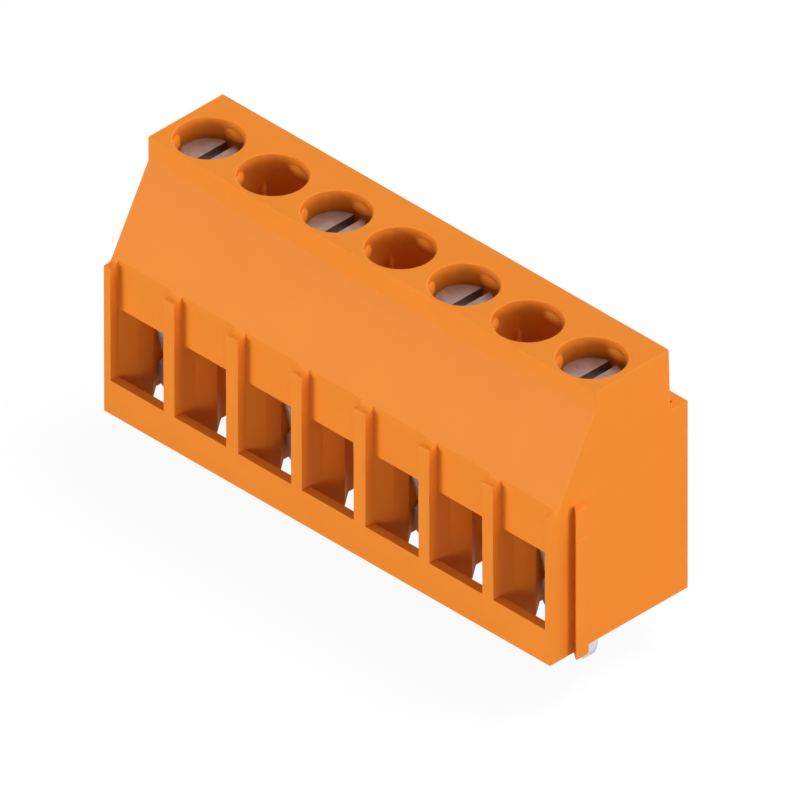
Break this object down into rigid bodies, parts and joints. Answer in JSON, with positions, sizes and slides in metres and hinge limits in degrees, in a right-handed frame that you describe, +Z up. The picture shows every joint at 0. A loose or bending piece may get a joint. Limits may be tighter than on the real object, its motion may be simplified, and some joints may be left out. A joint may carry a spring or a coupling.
{
  "type": "pcb terminal block",
  "caption": "Screw terminal block for a circuit board: dovetailed housing modules with wire funnels, bent cages with solder pins, slotted screws and swivelling pressure plates.",
  "frame": {"origin": "axis of the first solder pin, at the board's surface, which is the housing's underside", "axes": "+X along the row to the right, the wires come in from -Y, +Z up out of the board"},
  "size_m": [0.0362, 0.011, 0.0203],
  "materials": {
    "orange_moulding": "moulded, satin",
    "tinned_sheet": "tin plated, satin",
    "plate_steel": "nickel plated, satin",
    "screw_steel": "zinc plated"
  },
  "bodies": {
    "housing": {"housing_module_1": "orange_moulding", "housing_module_2": "orange_moulding", "housing_module_3": "orange_moulding", "clamp_cage_1": "tinned_sheet", "clamp_cage_2": "tinned_sheet", "clamp_cage_3": "tinned_sheet", "clamp_cage_4": "tinned_sheet"},
    "plate_1": {"pressure_plate_1": "plate_steel"},
    "screw_1": {"clamp_screw_1": "screw_steel"},
    "plate_2": {"pressure_plate_2": "plate_steel"},
    "screw_2": {"clamp_screw_2": "screw_steel"},
    "plate_3": {"pressure_plate_3": "plate_steel"},
    "screw_3": {"clamp_screw_3": "screw_steel"},
    "plate_4": {"pressure_plate_4": "plate_steel"},
    "screw_4": {"clamp_screw_4": "screw_steel"}
  },
  "joints": [
    {"name": "plate_slide_1", "type": "slide", "parent": "housing", "child": "plate_1", "axis": [0, 0, -1], "range_m": [0, 0.0045]},
    {"name": "screw_turn_1", "type": "hinge", "parent": "plate_1", "child": "screw_1", "pos_m": [0, 0.00033, 0.0159], "axis": [0, 0, -1], "range_deg": [0, 3600]},
    {"name": "plate_slide_2", "type": "slide", "parent": "housing", "child": "plate_2", "axis": [0, 0, -1], "range_m": [0, 0.0045]},
    {"name": "screw_turn_2", "type": "hinge", "parent": "plate_2", "child": "screw_2", "pos_m": [0.01016, 0.00033, 0.0159], "axis": [0, 0, -1], "range_deg": [0, 3600]},
    {"name": "plate_slide_3", "type": "slide", "parent": "housing", "child": "plate_3", "axis": [0, 0, -1], "range_m": [0, 0.0045]},
    {"name": "screw_turn_3", "type": "hinge", "parent": "plate_3", "child": "screw_3", "pos_m": [0.02032, 0.00033, 0.0159], "axis": [0, 0, -1], "range_deg": [0, 3600]},
    {"name": "plate_slide_4", "type": "slide", "parent": "housing", "child": "plate_4", "axis": [0, 0, -1], "range_m": [0, 0.0045]},
    {"name": "screw_turn_4", "type": "hinge", "parent": "plate_4", "child": "screw_4", "pos_m": [0.03048, 0.00033, 0.0159], "axis": [0, 0, -1], "range_deg": [0, 3600]}
  ],
  "couplings": [
    {"joint": "screw_turn_1", "follows": "plate_slide_1", "rad_per_m": 13963},
    {"joint": "screw_turn_2", "follows": "plate_slide_2", "rad_per_m": 13963},
    {"joint": "screw_turn_3", "follows": "plate_slide_3", "rad_per_m": 13963},
    {"joint": "screw_turn_4", "follows": "plate_slide_4", "rad_per_m": 13963}
  ]
}
